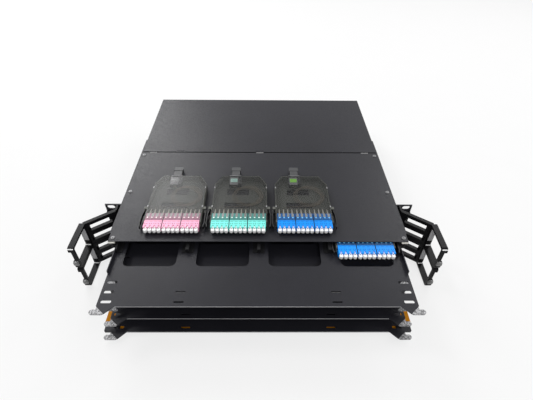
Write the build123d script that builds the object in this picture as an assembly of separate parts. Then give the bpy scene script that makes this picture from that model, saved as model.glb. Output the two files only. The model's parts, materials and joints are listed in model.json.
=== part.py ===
from build123d import *
import math
import os

# A two-unit rack drawer for fibre patching, with six sliding trays and four fibre modules.
# Millimetres. X runs across the rack, Y runs back, Z up. The origin is the middle of the
# base's underside, in the plane of the rack ears' front faces.

# Steps in a quarter turn of a rounded corner, and sides of a small round bar
CORNER_STEPS = 3
SLOT_STEPS = 1
BAR_SIDES = 8
LOOP_SIDES = 14

# Housing
BODY_HALF = 214.0
BODY_HEIGHT = 88.0
COVER_FRONT_Y = -76.5
WALL_FRONT_Y = -60.0
COVER_SEAM_Y = 141.0
BODY_REAR_Y = 338.0
SHEET = 1.2
BASE_SHEET = 1.5
BASE_FRONT_Y = -168.0
BASE_LIP = 5.0
BASE_CORNER_WIDTH = 20.5
BASE_CORNER_DEPTH = 8.5
TOP_FLANGE = 9.5
SEAM_GAP = 0.4
TONGUE_WIDTH = 14.0
TONGUE_LENGTH = 3.4
TONGUE_X = BODY_HALF - 69.0
TONGUE_CLEARANCE = 0.4
ENTRY_WIDTH = 70.0
ENTRY_HEIGHT = 24.0
ENTRY_R = 8.0
ENTRY_X = BODY_HALF - 94.0
ENTRY_Z = 32.0

# Rack ears and side brackets
EAR_SPAN = 2 * (BODY_HALF + 27.3)
EAR_SHEET = 2.0
EAR_MARGIN = 0.4
BRACKET_REAR_Y = 180.0
SLOT_SPACING_X = EAR_SPAN - 17.5
SLOT_SPACING_Z = BODY_HEIGHT - 11.8
SLOT_LENGTH = 12.0
SLOT_WIDTH = 7.0

# Cable combs
COMB_UNITS = 2
COMB_GAP = 0.8
COMB_PITCH = (BODY_HEIGHT + COMB_GAP) / COMB_UNITS
COMB_HEIGHT = COMB_PITCH - COMB_GAP
COMB_WALL = 3.2
COMB_FOOT_X = (BODY_HALF + 4.0, BODY_HALF + 26.5)
COMB_FOOT_Z = (13.0, BODY_HEIGHT - 13.0)
COMB_KNEE = (BODY_HALF + 7.0, -13.0)
COMB_POST_X = BODY_HALF + 52.5
COMB_POST_Y = -39.0
COMB_POST_DEPTH = 8.0
RING_STRIP = 8.5
RING_LENGTH = 52.0
RING_WALL = 3.5
RING_R = 4.0
HOOK_DROP = 8.0
HOOK_RISE = 15.0
TONGUE_DROP = 26.0
TONGUE_SHARE = 0.6
LADDER_WALL = 5.6
LADDER_GAP = 11.2
LADDER_PITCH = COMB_PITCH - 23.9
LADDER_X = (BODY_HALF + 13.0, BODY_HALF + 42.0)

# Trays: places are measured back from the middle of the front lip
TRAY_COUNT = 6
TOP_FLOOR_Z = BODY_HEIGHT - 13.5
BOTTOM_FLOOR_Z = 8.0
TRAY_PITCH = (TOP_FLOOR_Z - BOTTOM_FLOOR_Z) / (TRAY_COUNT - 1)
TRAY_TIP_F = (107.1, 54.5, 67.5, 77.0, 92.5, 105.0)
TRAY_INSET = 10.0
TRAY_HALF = BODY_HALF - TRAY_INSET
TRAY_DEPTH = 250.0
LIP_HALF = TRAY_HALF - 22.5
TIP_X = TRAY_HALF - 12.5
TIP_REACH = 10.1
CORNER_BACK = 1.0
LIP_ROLL = 3.0
LIP_DROP = 0.5
FLANGE_HEIGHT = TRAY_PITCH - 7.3
FLANGE_BACK = 50.5
BAY_COUNT = 4
BAY_MARGIN = 1.4
BAY_PITCH = 2 * (TRAY_HALF - BAY_MARGIN) / BAY_COUNT
WINDOW_WIDTH = BAY_PITCH - 27.3
WINDOW_LENGTH = 60.0
WINDOW_BACK = 63.4
WINDOW_R = 8.0
SIDE_SLOT_LENGTH = 13.5
SIDE_SLOT_WIDTH = 4.4
SIDE_SLOT_R = 1.2
SIDE_SLOT_X = TRAY_HALF - 10.5
SIDE_SLOT_BACK = (7.3, 22.0, 37.0)
TIE_SLOT_LENGTH = 12.8
TIE_SLOT_WIDTH = 2.6
TIE_SLOT_BACK = (7.0, 22.0)
REAR_TIE_BACK = 240.0

# Tray guides, slide rails, runners and pull tabs
GUIDE_BACK = 87.0
GUIDE_LENGTH = 123.0
GUIDE_FOOT_HALF = 8.3
GUIDE_FOOT_HEIGHT = 1.0
GUIDE_WEB_HALF = 2.4
GUIDE_HEIGHT = TRAY_PITCH - 5.3
RUNNER_REAR_Y = 147.0
RUNNER_WALL = 1.2
RUNNER_LIP = 1.0
RUNNER_GAP = 0.6
RUNNER_LOW = 0.7
RUNNER_HIGH = TRAY_PITCH - 6.6
RUNNING_CLEARANCE = 0.3
RAIL_WALL = 1.2
RAIL_INSET = 2.0
RAIL_BACK = 96.0
TAB_OUTER_X = TRAY_HALF + 6.3
TAB_LENGTH = 18.4
TAB_DEPTH = 6.6
TAB_FRONT = -10.6
TAB_UNDER = 1.3
TAB_R = 3.0
TAB_TAIL_X = (TRAY_HALF - 10.5, TRAY_HALF - 1.0)
TAB_TAIL_BACK = 4.5
TAB_CLEARANCE = 0.2

# Fibre modules: places are measured back from the front of the dust caps
MODULE_HALF = BAY_PITCH / 2 - 8.65
MODULE_HEIGHT = 11.5
MODULE_LENGTH = 122.0
MODULE_FRONT_WALL = 16.0
MODULE_REAR_HALF = MODULE_HALF - 11.5
MODULE_CHAMFER = 20.5
MODULE_WALL = 1.5
MODULE_FLOOR = 1.2
LID_THICKNESS = 1.2
LID_FRONT = 19.8
MODULE_SEAT_GAP = 0.1
FLOOR_WINDOWS = ((35.5, 14.0, 92.0), (40.5, 12.0, 61.0))
FLOOR_WINDOW_X = -4.5
ADAPTER_COUNT = 3
ADAPTER_PITCH = (2 * MODULE_HALF - 3.6) / ADAPTER_COUNT
ADAPTER_WIDTH = ADAPTER_PITCH - 0.6
ADAPTER_FRONT = 5.5
ADAPTER_LENGTH = 28.5
ADAPTER_HEIGHT = 9.0
ADAPTER_PORTS = 4
PORT_PITCH = (ADAPTER_WIDTH - 0.4) / ADAPTER_PORTS
PORT_WIDTH = PORT_PITCH - 1.45
PORT_HEIGHT = 5.6
PORT_DEPTH = 14.0
KEYWAY_WIDTH = 2.2
KEYWAY_LENGTH = 4.5
CAP_R = (PORT_PITCH - 0.65) / 2
CAP_TAIL_R = 1.2
CAP_HEIGHT = 5.4
CAP_STEM = 7.0
CAP_CLEARANCE = 0.1
REAR_ADAPTER_X = -9.5
REAR_HOUSING_WIDTH = 20.0
REAR_HOUSING_INSIDE = 19.0
REAR_HOUSING_HEIGHT = 8.0
SNOUT_WIDTH = 13.0
SNOUT_HEIGHT = 7.0
SNOUT_LENGTH = 16.0
REAR_CAP_WIDTH = 15.0
REAR_CAP_HEIGHT = 8.0
REAR_CAP_LENGTH = 9.0
REAR_CAP_CHAMFER = 1.5
LATCH_PIVOT = (MODULE_HALF + 2.0, 46.0)
LATCH_ROOT_R = 1.5
LATCH_WALL = 1.5
LATCH_LOW = 3.0
LATCH_HIGH = 9.0
LATCH_KNEE = (MODULE_HALF + 4.9, 34.0)
LATCH_SHOULDER = (MODULE_HALF + 5.1, 15.0)
LATCH_TIP = (MODULE_HALF + 3.7, 8.0)
LUG_REACH = 2.5
LUG_WALL = 1.2
LUG_CLEARANCE = 0.3
TAIL_FRONT = 4.0
TAIL_LENGTH = 13.0
TAIL_R = 1.7
TAIL_END_R = 0.8
BUNDLE_R = MODULE_HALF - 18.0
BUNDLE_WIDTH = 1.6
BUNDLE_Z = 3.0
BUNDLE_CENTRE = (12.0, 82.0)

# Where the modules stand: middle in X, front of the caps in Y
BAY_MODULE_Y = -100.5
LOOSE_MODULE_Y = -64.0
LOOSE_MODULE_MIDDLE_X = -30.0
LOOSE_MODULE_GAP = 13.0

# Screws and the strip on the base
SCREW_HEAD_R = 3.0
SCREW_HEAD = 1.2
COVER_SCREW_X = BODY_HALF - 5.5
COVER_SCREW_Y = (-70.0, 30.0, 130.0)
BRACKET_SCREW_Y = (-50.0, 60.0, 160.0)
COMB_SCREW_X = BODY_HALF + 18.0
STRIP_Y = (-164.0, -120.0)
STRIP_THICKNESS = 0.8
STRIP_MARGIN = 0.2

# Worked out from the sizes above
COVER_Z = BODY_HEIGHT - SHEET
EAR_Z = (EAR_MARGIN, BODY_HEIGHT - EAR_MARGIN)
MIDDLE_Z = BODY_HEIGHT / 2
LID_Z = MODULE_HEIGHT - LID_THICKNESS
RAIL_LOW = RUNNER_LIP - RUNNER_LOW + RUNNING_CLEARANCE
RAIL_HIGH = RUNNER_HIGH - RUNNER_LIP - RUNNING_CLEARANCE
RUNNER_INNER_X = TRAY_HALF + RUNNER_GAP
WALL_INNER_X = BODY_HALF - SHEET
BAY_X = [BAY_PITCH * (i - (BAY_COUNT - 1) / 2) for i in range(BAY_COUNT)]


def block(x, y, z):
    """A box between two values along each axis."""
    size = Box(x[1] - x[0], y[1] - y[0], z[1] - z[0])
    return Pos((x[0] + x[1]) / 2, (y[0] + y[1]) / 2, (z[0] + z[1]) / 2) * size


def both_sides(shape):
    """The shape and its mirror image across the middle."""
    return shape + mirror(shape, Plane.YZ)


def plate(sketch, bottom, top):
    """A flat sketch made solid between two heights."""
    return extrude(Pos(0, 0, bottom) * sketch, top - bottom)


def rounded(width, length, radius, steps=CORNER_STEPS):
    """A rectangle with its corners rounded in a few flat steps."""
    points = []
    for corner in range(4):
        middle = math.radians(90 * corner + 45)
        x = math.copysign(width / 2 - radius, math.cos(middle))
        y = math.copysign(length / 2 - radius, math.sin(middle))
        for step in range(steps + 1):
            turn = math.radians(90 * (corner + step / steps))
            points.append((x + radius * math.cos(turn), y + radius * math.sin(turn)))
    return Polygon(*points, align=None)


def upright(radius, x, y, z):
    """A many-sided bar standing along Z."""
    return plate(Pos(x, y) * RegularPolygon(radius, BAR_SIDES), z[0], z[1])


def across(radius, x, y, z):
    """A many-sided bar lying along X."""
    return Pos(x[0], y, z) * Rot(0, 90, 0) * plate(RegularPolygon(radius, BAR_SIDES), 0, x[1] - x[0])


def lengthways(radius, x, y, z):
    """A many-sided bar lying along Y."""
    return Pos(x, y[1], z) * Rot(90, 0, 0) * plate(RegularPolygon(radius, BAR_SIDES), 0, y[1] - y[0])


def save(name, shape):
    export_step(shape, f"parts/{name}.step")


# The housing

def base_pan():
    width = (-BODY_HALF, BODY_HALF)
    floor = block(width, (BASE_FRONT_Y, BODY_REAR_Y), (0, BASE_SHEET))
    floor += block(width, (BASE_FRONT_Y, BASE_FRONT_Y + BASE_SHEET), (0, BASE_LIP))
    length = (WALL_FRONT_Y, BODY_REAR_Y)
    wall = block((WALL_INNER_X, BODY_HALF), length, (BASE_SHEET, COVER_Z))
    flange = block((BODY_HALF - TOP_FLANGE, BODY_HALF), length, (COVER_Z - SHEET, COVER_Z))
    corner = block(
        (BODY_HALF - BASE_CORNER_WIDTH, BODY_HALF),
        (BASE_FRONT_Y, BASE_FRONT_Y + BASE_CORNER_DEPTH),
        (BASE_LIP - SHEET, BASE_LIP),
    )
    return floor + both_sides(wall + flange + corner)


def rear_panel():
    wall = block(
        (-WALL_INNER_X, WALL_INNER_X),
        (BODY_REAR_Y - SHEET, BODY_REAR_Y),
        (BASE_SHEET, COVER_Z - SHEET),
    )
    outline = rounded(ENTRY_WIDTH, ENTRY_HEIGHT, ENTRY_R)
    entry = Plane.XZ * Pos(ENTRY_X, ENTRY_Z) * outline
    entry = Pos(0, BODY_REAR_Y + SHEET, 0) * extrude(entry, 3 * SHEET)
    return wall - both_sides(entry)


def tongues(clearance):
    """The outline of the tongues that key the two covers together."""
    width = TONGUE_WIDTH + 2 * clearance
    reach = TONGUE_LENGTH + clearance
    shape = Sketch()
    for i in (-1, 0, 1):
        shape += Pos(i * TONGUE_X, COVER_SEAM_Y + reach / 2) * Rectangle(width, reach + SEAM_GAP)
    return shape


def front_cover():
    depth = COVER_SEAM_Y - SEAM_GAP / 2 - COVER_FRONT_Y
    sheet = Pos(0, COVER_FRONT_Y + depth / 2) * Rectangle(2 * BODY_HALF, depth)
    return plate(sheet + tongues(0), COVER_Z, BODY_HEIGHT)


def rear_cover():
    depth = BODY_REAR_Y - COVER_SEAM_Y - SEAM_GAP / 2
    sheet = Pos(0, BODY_REAR_Y - depth / 2) * Rectangle(2 * BODY_HALF, depth)
    return plate(sheet - tongues(TONGUE_CLEARANCE), COVER_Z, BODY_HEIGHT)


def rack_ears():
    side = block((BODY_HALF, BODY_HALF + EAR_SHEET), (WALL_FRONT_Y, BRACKET_REAR_Y), EAR_Z)
    ear = block((BODY_HALF, EAR_SPAN / 2), (0, EAR_SHEET), EAR_Z)
    slot = Plane.XZ * Pos(SLOT_SPACING_X / 2, 0) * SlotOverall(SLOT_LENGTH, SLOT_WIDTH)
    slot = Pos(0, 2 * EAR_SHEET, MIDDLE_Z) * extrude(slot, 3 * EAR_SHEET)
    for step in (-0.5, 0.5):
        ear -= Pos(0, 0, step * SLOT_SPACING_Z) * slot
    return both_sides(side + ear)


def runners():
    """One channel on each wall for each tray, open towards the middle."""
    length = (WALL_FRONT_Y + SHEET, RUNNER_REAR_Y)
    outer = block((RUNNER_INNER_X, WALL_INNER_X), length, (-RUNNER_LOW, RUNNER_HIGH))
    groove = block(
        (RUNNER_INNER_X - RUNNER_WALL, WALL_INNER_X - RUNNER_WALL),
        (length[0] - SHEET, length[1] + SHEET),
        (RUNNER_LIP - RUNNER_LOW, RUNNER_HIGH - RUNNER_LIP),
    )
    channel = outer - groove
    channels = [Pos(0, 0, floor_z(i)) * channel for i in range(TRAY_COUNT)]
    return Compound(channels + [mirror(c, Plane.YZ) for c in channels])


# The cable combs

def comb_unit(foot_z):
    """One ring unit at the right, its bottom at Z = 0, its foot between two heights."""
    height = COMB_HEIGHT
    post_x = (COMB_POST_X - RING_STRIP, COMB_POST_X)
    foot = block(COMB_FOOT_X, (-COMB_WALL, 0), foot_z)
    root = Polyline((COMB_KNEE[0], -COMB_WALL / 2), COMB_KNEE)
    rung = Polyline(COMB_KNEE, (post_x[0] + LADDER_WALL / 2, COMB_POST_Y - LADDER_WALL / 2))
    ladder = plate(trace(root, COMB_WALL), 0, height) + plate(trace(rung, LADDER_WALL), 0, height)
    for step in (-0.5, 0.5):
        middle = height / 2 + step * LADDER_PITCH
        gap = (middle - LADDER_GAP / 2, middle + LADDER_GAP / 2)
        ladder -= block(LADDER_X, (COMB_POST_Y - RING_STRIP, COMB_KNEE[1] + LADDER_WALL), gap)
    middle_y = COMB_POST_Y - RING_LENGTH / 2
    inner_length = RING_LENGTH - COMB_POST_DEPTH - RING_WALL
    inner_y = COMB_POST_Y - COMB_POST_DEPTH - inner_length / 2
    ring = Pos(middle_y, height / 2) * rounded(RING_LENGTH, height, RING_R)
    ring -= Pos(inner_y, height / 2) * rounded(
        inner_length, height - 2 * RING_WALL, RING_R - RING_WALL / 2
    )
    ring = Pos(post_x[0], 0, 0) * extrude(Plane.YZ * ring, RING_STRIP)
    front = COMB_POST_Y - RING_LENGTH
    hook = (front - RING_WALL, front + RING_WALL)
    tongue_x = post_x[0] + TONGUE_SHARE * RING_STRIP
    ring -= block(post_x, hook, (HOOK_RISE, height - TONGUE_DROP))
    ring -= block((tongue_x, post_x[1]), hook, (height - TONGUE_DROP, height - HOOK_DROP))
    return foot + ladder + ring


def comb(side):
    """The stacked ring units of one side: 1 at the right, -1 at the left."""
    units = []
    for i in range(COMB_UNITS):
        bottom = i * COMB_PITCH
        foot_z = (max(COMB_FOOT_Z[0] - bottom, 0), min(COMB_FOOT_Z[1] - bottom, COMB_HEIGHT))
        units.append(Pos(0, 0, bottom) * comb_unit(foot_z))
    shape = Compound(units)
    return shape if side > 0 else mirror(shape, Plane.YZ)


# The trays

def floor_z(i):
    """The top of a tray's floor, from the top tray down."""
    return TOP_FLOOR_Z - i * TRAY_PITCH


def lip_y(i):
    """The front lip of a tray at rest."""
    return COVER_FRONT_Y - TRAY_TIP_F[i] + TIP_REACH


def tray_edge(grow):
    """The right half of a tray's outline, its ear grown by a clearance."""
    return Polyline(
        (0, 0),
        (LIP_HALF - grow, 0),
        (TIP_X - grow / 2, -TIP_REACH - grow),
        (TRAY_HALF + grow, CORNER_BACK - grow / 2),
        (TRAY_HALF + grow, TRAY_DEPTH),
        (0, TRAY_DEPTH),
        close=True,
    )


def tray_blank():
    """The flat sheet of a tray, with its windows and slots, lip at Y = 0."""
    half = make_face(tray_edge(0))
    for x in BAY_X[BAY_COUNT // 2:]:
        window = rounded(WINDOW_WIDTH, WINDOW_LENGTH, WINDOW_R)
        half -= Pos(x, WINDOW_BACK + WINDOW_LENGTH / 2) * window
        half -= Pos(x, REAR_TIE_BACK) * Rectangle(TIE_SLOT_LENGTH, TIE_SLOT_WIDTH)
    for y in SIDE_SLOT_BACK:
        slot = rounded(SIDE_SLOT_LENGTH, SIDE_SLOT_WIDTH, SIDE_SLOT_R, SLOT_STEPS)
        half -= Pos(SIDE_SLOT_X, y) * slot
    for y in TIE_SLOT_BACK:
        half -= Pos(BAY_PITCH, y) * Rectangle(TIE_SLOT_LENGTH, TIE_SLOT_WIDTH)
    return half


def tray():
    """One tray, its lip at Y = 0 and its floor's top at Z = 0."""
    floor = plate(tray_blank(), -SHEET, 0)
    lip = block((0, LIP_HALF), (0, LIP_ROLL), (-SHEET - LIP_DROP, 0))
    lip = chamfer(lip.edges().filter_by(Axis.X).group_by(Axis.Y)[0], (SHEET + LIP_DROP) / 4)
    front = block((-SHEET, LIP_HALF), (-SHEET, LIP_ROLL / 2), (-2 * SHEET, SHEET))
    flange = block((TRAY_HALF - SHEET, TRAY_HALF), (FLANGE_BACK, TRAY_DEPTH), (0, FLANGE_HEIGHT))
    return both_sides(floor - front + lip + flange)


def guides():
    """The module guides on the bridges and the slide rails on a tray's flanges."""
    length = (GUIDE_BACK, GUIDE_BACK + GUIDE_LENGTH)
    foot = block((-GUIDE_FOOT_HALF, GUIDE_FOOT_HALF), length, (0, GUIDE_FOOT_HEIGHT))
    web = block((-GUIDE_WEB_HALF, GUIDE_WEB_HALF), length, (0, GUIDE_HEIGHT))
    guide = foot + web
    pieces = [Pos(BAY_PITCH * i, 0, 0) * guide for i in (-1, 0, 1)]
    edge_x = BAY_COUNT / 2 * BAY_PITCH
    inner = TRAY_HALF - SHEET
    outer = block((edge_x - GUIDE_FOOT_HALF, inner), length, (0, GUIDE_FOOT_HEIGHT))
    outer += block((edge_x - GUIDE_WEB_HALF, inner), length, (0, GUIDE_HEIGHT))
    rail_length = (RAIL_BACK, TRAY_DEPTH - RAIL_INSET)
    rail_x = (TRAY_HALF, WALL_INNER_X - RUNNER_WALL - RUNNING_CLEARANCE)
    rail = block(rail_x, rail_length, (RAIL_LOW, RAIL_HIGH))
    rail -= block(
        (rail_x[0] + RAIL_WALL, rail_x[1] + RAIL_WALL),
        (0, 2 * TRAY_DEPTH),
        (RAIL_LOW + RAIL_WALL, RAIL_HIGH - RAIL_WALL),
    )
    for piece in (outer, rail):
        pieces += [piece, mirror(piece, Plane.YZ)]
    return Compound(pieces)


def tabs():
    """The two pull tabs, each under a front ear with its grip outside the ear's edge."""
    middle = (TAB_OUTER_X - TAB_LENGTH / 2, TAB_FRONT + TAB_DEPTH / 2)
    outline = Pos(*middle) * rounded(TAB_LENGTH, TAB_DEPTH, TAB_R)
    tail_x = sum(TAB_TAIL_X) / 2
    tail_y = (middle[1] + TAB_TAIL_BACK) / 2
    tail = Rectangle(TAB_TAIL_X[1] - TAB_TAIL_X[0], TAB_TAIL_BACK - middle[1])
    outline += Pos(tail_x, tail_y) * tail
    tab = plate(outline, -SHEET - TAB_UNDER, -SHEET)
    tab += plate(outline - make_face(tray_edge(TAB_CLEARANCE)), -SHEET, 0)
    return Compound([tab, mirror(tab, Plane.YZ)])


# The fibre modules, each with the front of its caps at Y = 0 and its underside at Z = 0

def module_outline(front, inset):
    """The outline of a module's box, drawn in by an inset."""
    side = MODULE_HALF - inset
    rear = MODULE_LENGTH - inset
    rear_half = MODULE_REAR_HALF - inset / 2
    return Polygon(
        (-side, front),
        (side, front),
        (side, MODULE_LENGTH - MODULE_CHAMFER - inset / 4),
        (rear_half, rear),
        (-rear_half, rear),
        (-side, MODULE_LENGTH - MODULE_CHAMFER - inset / 4),
        align=None,
    )


def shell():
    outer = plate(module_outline(MODULE_FRONT_WALL, 0), 0, LID_Z)
    hollow = plate(module_outline(MODULE_FRONT_WALL - MODULE_WALL, MODULE_WALL), MODULE_FLOOR, LID_Z + 1)
    box = outer - hollow
    for width, depth, y in FLOOR_WINDOWS:
        box -= Pos(FLOOR_WINDOW_X, y, 0) * Box(width, depth, 4 * MODULE_FLOOR)
    opening = (REAR_ADAPTER_X - REAR_HOUSING_WIDTH / 2, REAR_ADAPTER_X + REAR_HOUSING_WIDTH / 2)
    box -= block(opening, (MODULE_LENGTH - 2 * MODULE_WALL, MODULE_LENGTH + 1), (MODULE_FLOOR, LID_Z + 1))
    x, y = LATCH_PIVOT
    lug_x = (MODULE_HALF, x + LUG_REACH)
    lug_y = (y - LUG_REACH, y + LUG_REACH)
    low_top = LATCH_LOW - LUG_CLEARANCE
    low = block(lug_x, lug_y, (low_top - LUG_WALL, low_top))
    high = block(lug_x, lug_y, (LATCH_HIGH + LUG_CLEARANCE, LID_Z))
    return box + both_sides(low + high)


def lid():
    cover = plate(module_outline(LID_FRONT, 0), LID_Z, MODULE_HEIGHT)
    top = cover.faces().sort_by(Axis.Z)[-1]
    return chamfer(top.edges(), LID_THICKNESS / 3)


def adapter_x():
    return [ADAPTER_PITCH * (i - (ADAPTER_COUNT - 1) / 2) for i in range(ADAPTER_COUNT)]


def port_x():
    return [PORT_PITCH * (i - (ADAPTER_PORTS - 1) / 2) for i in range(ADAPTER_PORTS)]


def port_z():
    return MODULE_FLOOR + ADAPTER_HEIGHT / 2


def adapters():
    """Three four-port adapters, each port with a keyway open to the top."""
    half = ADAPTER_WIDTH / 2
    top = MODULE_FLOOR + ADAPTER_HEIGHT
    adapter = block((-half, half), (ADAPTER_FRONT, ADAPTER_FRONT + ADAPTER_LENGTH), (MODULE_FLOOR, top))
    port = (port_z() - PORT_HEIGHT / 2, port_z() + PORT_HEIGHT / 2)
    for x in port_x():
        width = (x - PORT_WIDTH / 2, x + PORT_WIDTH / 2)
        adapter -= block(width, (ADAPTER_FRONT - 1, ADAPTER_FRONT + PORT_DEPTH), port)
        key = (x - KEYWAY_WIDTH / 2, x + KEYWAY_WIDTH / 2)
        adapter -= block(key, (ADAPTER_FRONT - 1, ADAPTER_FRONT + KEYWAY_LENGTH), (port_z(), top + 1))
    return Compound([Pos(x, 0, 0) * adapter for x in adapter_x()])


def dust_caps():
    """Twelve drop-shaped caps, each with a stem in its port."""
    nose = Pos(0, CAP_R) * RegularPolygon(CAP_R, BAR_SIDES)
    neck = Pos(0, ADAPTER_FRONT - CAP_TAIL_R) * Rectangle(2 * CAP_TAIL_R, 2 * CAP_TAIL_R)
    drop = make_hull(nose.edges() + neck.edges())
    low = port_z() - CAP_HEIGHT / 2
    grip = plate(drop, low, low + CAP_HEIGHT)
    stem_half = PORT_WIDTH / 2 - CAP_CLEARANCE
    stem_z = (port_z() - PORT_HEIGHT / 2 + CAP_CLEARANCE, port_z() + PORT_HEIGHT / 2 - CAP_CLEARANCE)
    stem = block((-stem_half, stem_half), (ADAPTER_FRONT - CAP_TAIL_R, ADAPTER_FRONT + CAP_STEM), stem_z)
    cap = grip + stem
    return Compound([Pos(a + p, 0, 0) * cap for a in adapter_x() for p in port_x()])


def rear_adapter():
    """The ribbon connector's adapter in the rear wall, with its cap."""
    half = REAR_HOUSING_WIDTH / 2
    inside = MODULE_LENGTH - REAR_HOUSING_INSIDE
    top = MODULE_FLOOR + REAR_HOUSING_HEIGHT
    middle = (MODULE_FLOOR + top) / 2
    housing = block((-half, half), (inside, MODULE_LENGTH), (MODULE_FLOOR, top))
    snout_end = MODULE_LENGTH + SNOUT_LENGTH
    snout = Pos(0, (MODULE_LENGTH + snout_end) / 2, middle) * Box(SNOUT_WIDTH, SNOUT_LENGTH, SNOUT_HEIGHT)
    cap = Pos(0, snout_end + REAR_CAP_LENGTH / 2, middle) * Box(
        REAR_CAP_WIDTH, REAR_CAP_LENGTH, REAR_CAP_HEIGHT
    )
    cap = chamfer(cap.edges().filter_by(Axis.Z).group_by(Axis.Y)[-1], REAR_CAP_CHAMFER)
    return Pos(REAR_ADAPTER_X, 0, 0) * (housing + snout + cap)


def latch(side):
    """A side latch: 1 at the right, -1 at the left."""
    line = Polyline(LATCH_PIVOT, LATCH_KNEE, LATCH_SHOULDER, LATCH_TIP)
    arm = plate(trace(line, LATCH_WALL), LATCH_LOW, LATCH_HIGH)
    root = upright(LATCH_ROOT_R, LATCH_PIVOT[0], LATCH_PIVOT[1], (LATCH_LOW, LATCH_HIGH))
    shape = arm + root
    return shape if side > 0 else mirror(shape, Plane.YZ)


def pigtails():
    """Twelve inner connectors behind the adapters and the fibre bundle's loop."""
    rear = ADAPTER_FRONT + ADAPTER_LENGTH
    tail = block((-TAIL_R, TAIL_R), (0, TAIL_FRONT), (-TAIL_R, TAIL_R))
    tail += block((-TAIL_END_R, TAIL_END_R), (TAIL_FRONT, TAIL_LENGTH), (-TAIL_END_R, TAIL_END_R))
    pieces = [Pos(a + p, rear, port_z()) * tail for a in adapter_x() for p in port_x()]
    ring = RegularPolygon(BUNDLE_R, LOOP_SIDES) - RegularPolygon(BUNDLE_R - BUNDLE_WIDTH, LOOP_SIDES)
    pieces.append(plate(Pos(*BUNDLE_CENTRE) * ring, MODULE_FLOOR, BUNDLE_Z))
    return Compound(pieces)


# Screws and the strip

def screws():
    """The heads of the cover, bracket and comb screws."""
    heads = []
    for y in COVER_SCREW_Y:
        heads.append(upright(SCREW_HEAD_R, COVER_SCREW_X, y, (BODY_HEIGHT, BODY_HEIGHT + SCREW_HEAD)))
    outer = BODY_HALF + EAR_SHEET
    for y in BRACKET_SCREW_Y:
        heads.append(across(SCREW_HEAD_R, (outer, outer + SCREW_HEAD), y, MIDDLE_Z))
    for step in (-0.5, 0.5):
        z = MIDDLE_Z + step * COMB_PITCH
        heads.append(lengthways(SCREW_HEAD_R, COMB_SCREW_X, (-COMB_WALL - SCREW_HEAD, -COMB_WALL), z))
    return Compound(heads + [mirror(head, Plane.YZ) for head in heads])


def base_strip():
    half = BODY_HALF - STRIP_MARGIN
    return block((-half, half), STRIP_Y, (BASE_SHEET, BASE_SHEET + STRIP_THICKNESS))


def save_module(name, place):
    pieces = {
        "shell": shell(),
        "lid": lid(),
        "adapters": adapters(),
        "dust_caps": dust_caps(),
        "rear_adapter": rear_adapter(),
        "latch_left": latch(-1),
        "latch_right": latch(1),
        "pigtails": pigtails(),
    }
    for piece, shape in pieces.items():
        save(f"{name}_{piece}", place * shape)


def main():
    os.makedirs("parts", exist_ok=True)
    save("base_pan", base_pan())
    save("rear_panel", rear_panel())
    save("front_cover", front_cover())
    save("rear_cover", rear_cover())
    save("rack_ears", rack_ears())
    save("runners", runners())
    save("comb_left", comb(-1))
    save("comb_right", comb(1))
    save("screws", screws())
    save("base_strip", base_strip())
    for i in range(TRAY_COUNT):
        place = Pos(0, lip_y(i), floor_z(i))
        save(f"tray_{i + 1}", place * tray())
        save(f"tray_{i + 1}_guides", place * guides())
        save(f"tray_{i + 1}_tabs", place * tabs())
    seat = floor_z(0) + MODULE_SEAT_GAP
    save_module("bay_module", Pos(BAY_X[-1], BAY_MODULE_Y, seat))
    for i, name in enumerate(("pink", "aqua", "blue")):
        x = LOOSE_MODULE_MIDDLE_X + (i - 1) * (2 * MODULE_HALF + LOOSE_MODULE_GAP)
        save_module(f"{name}_module", Pos(x, LOOSE_MODULE_Y, BODY_HEIGHT + MODULE_SEAT_GAP))


main()
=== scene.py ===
import json
import math

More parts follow.
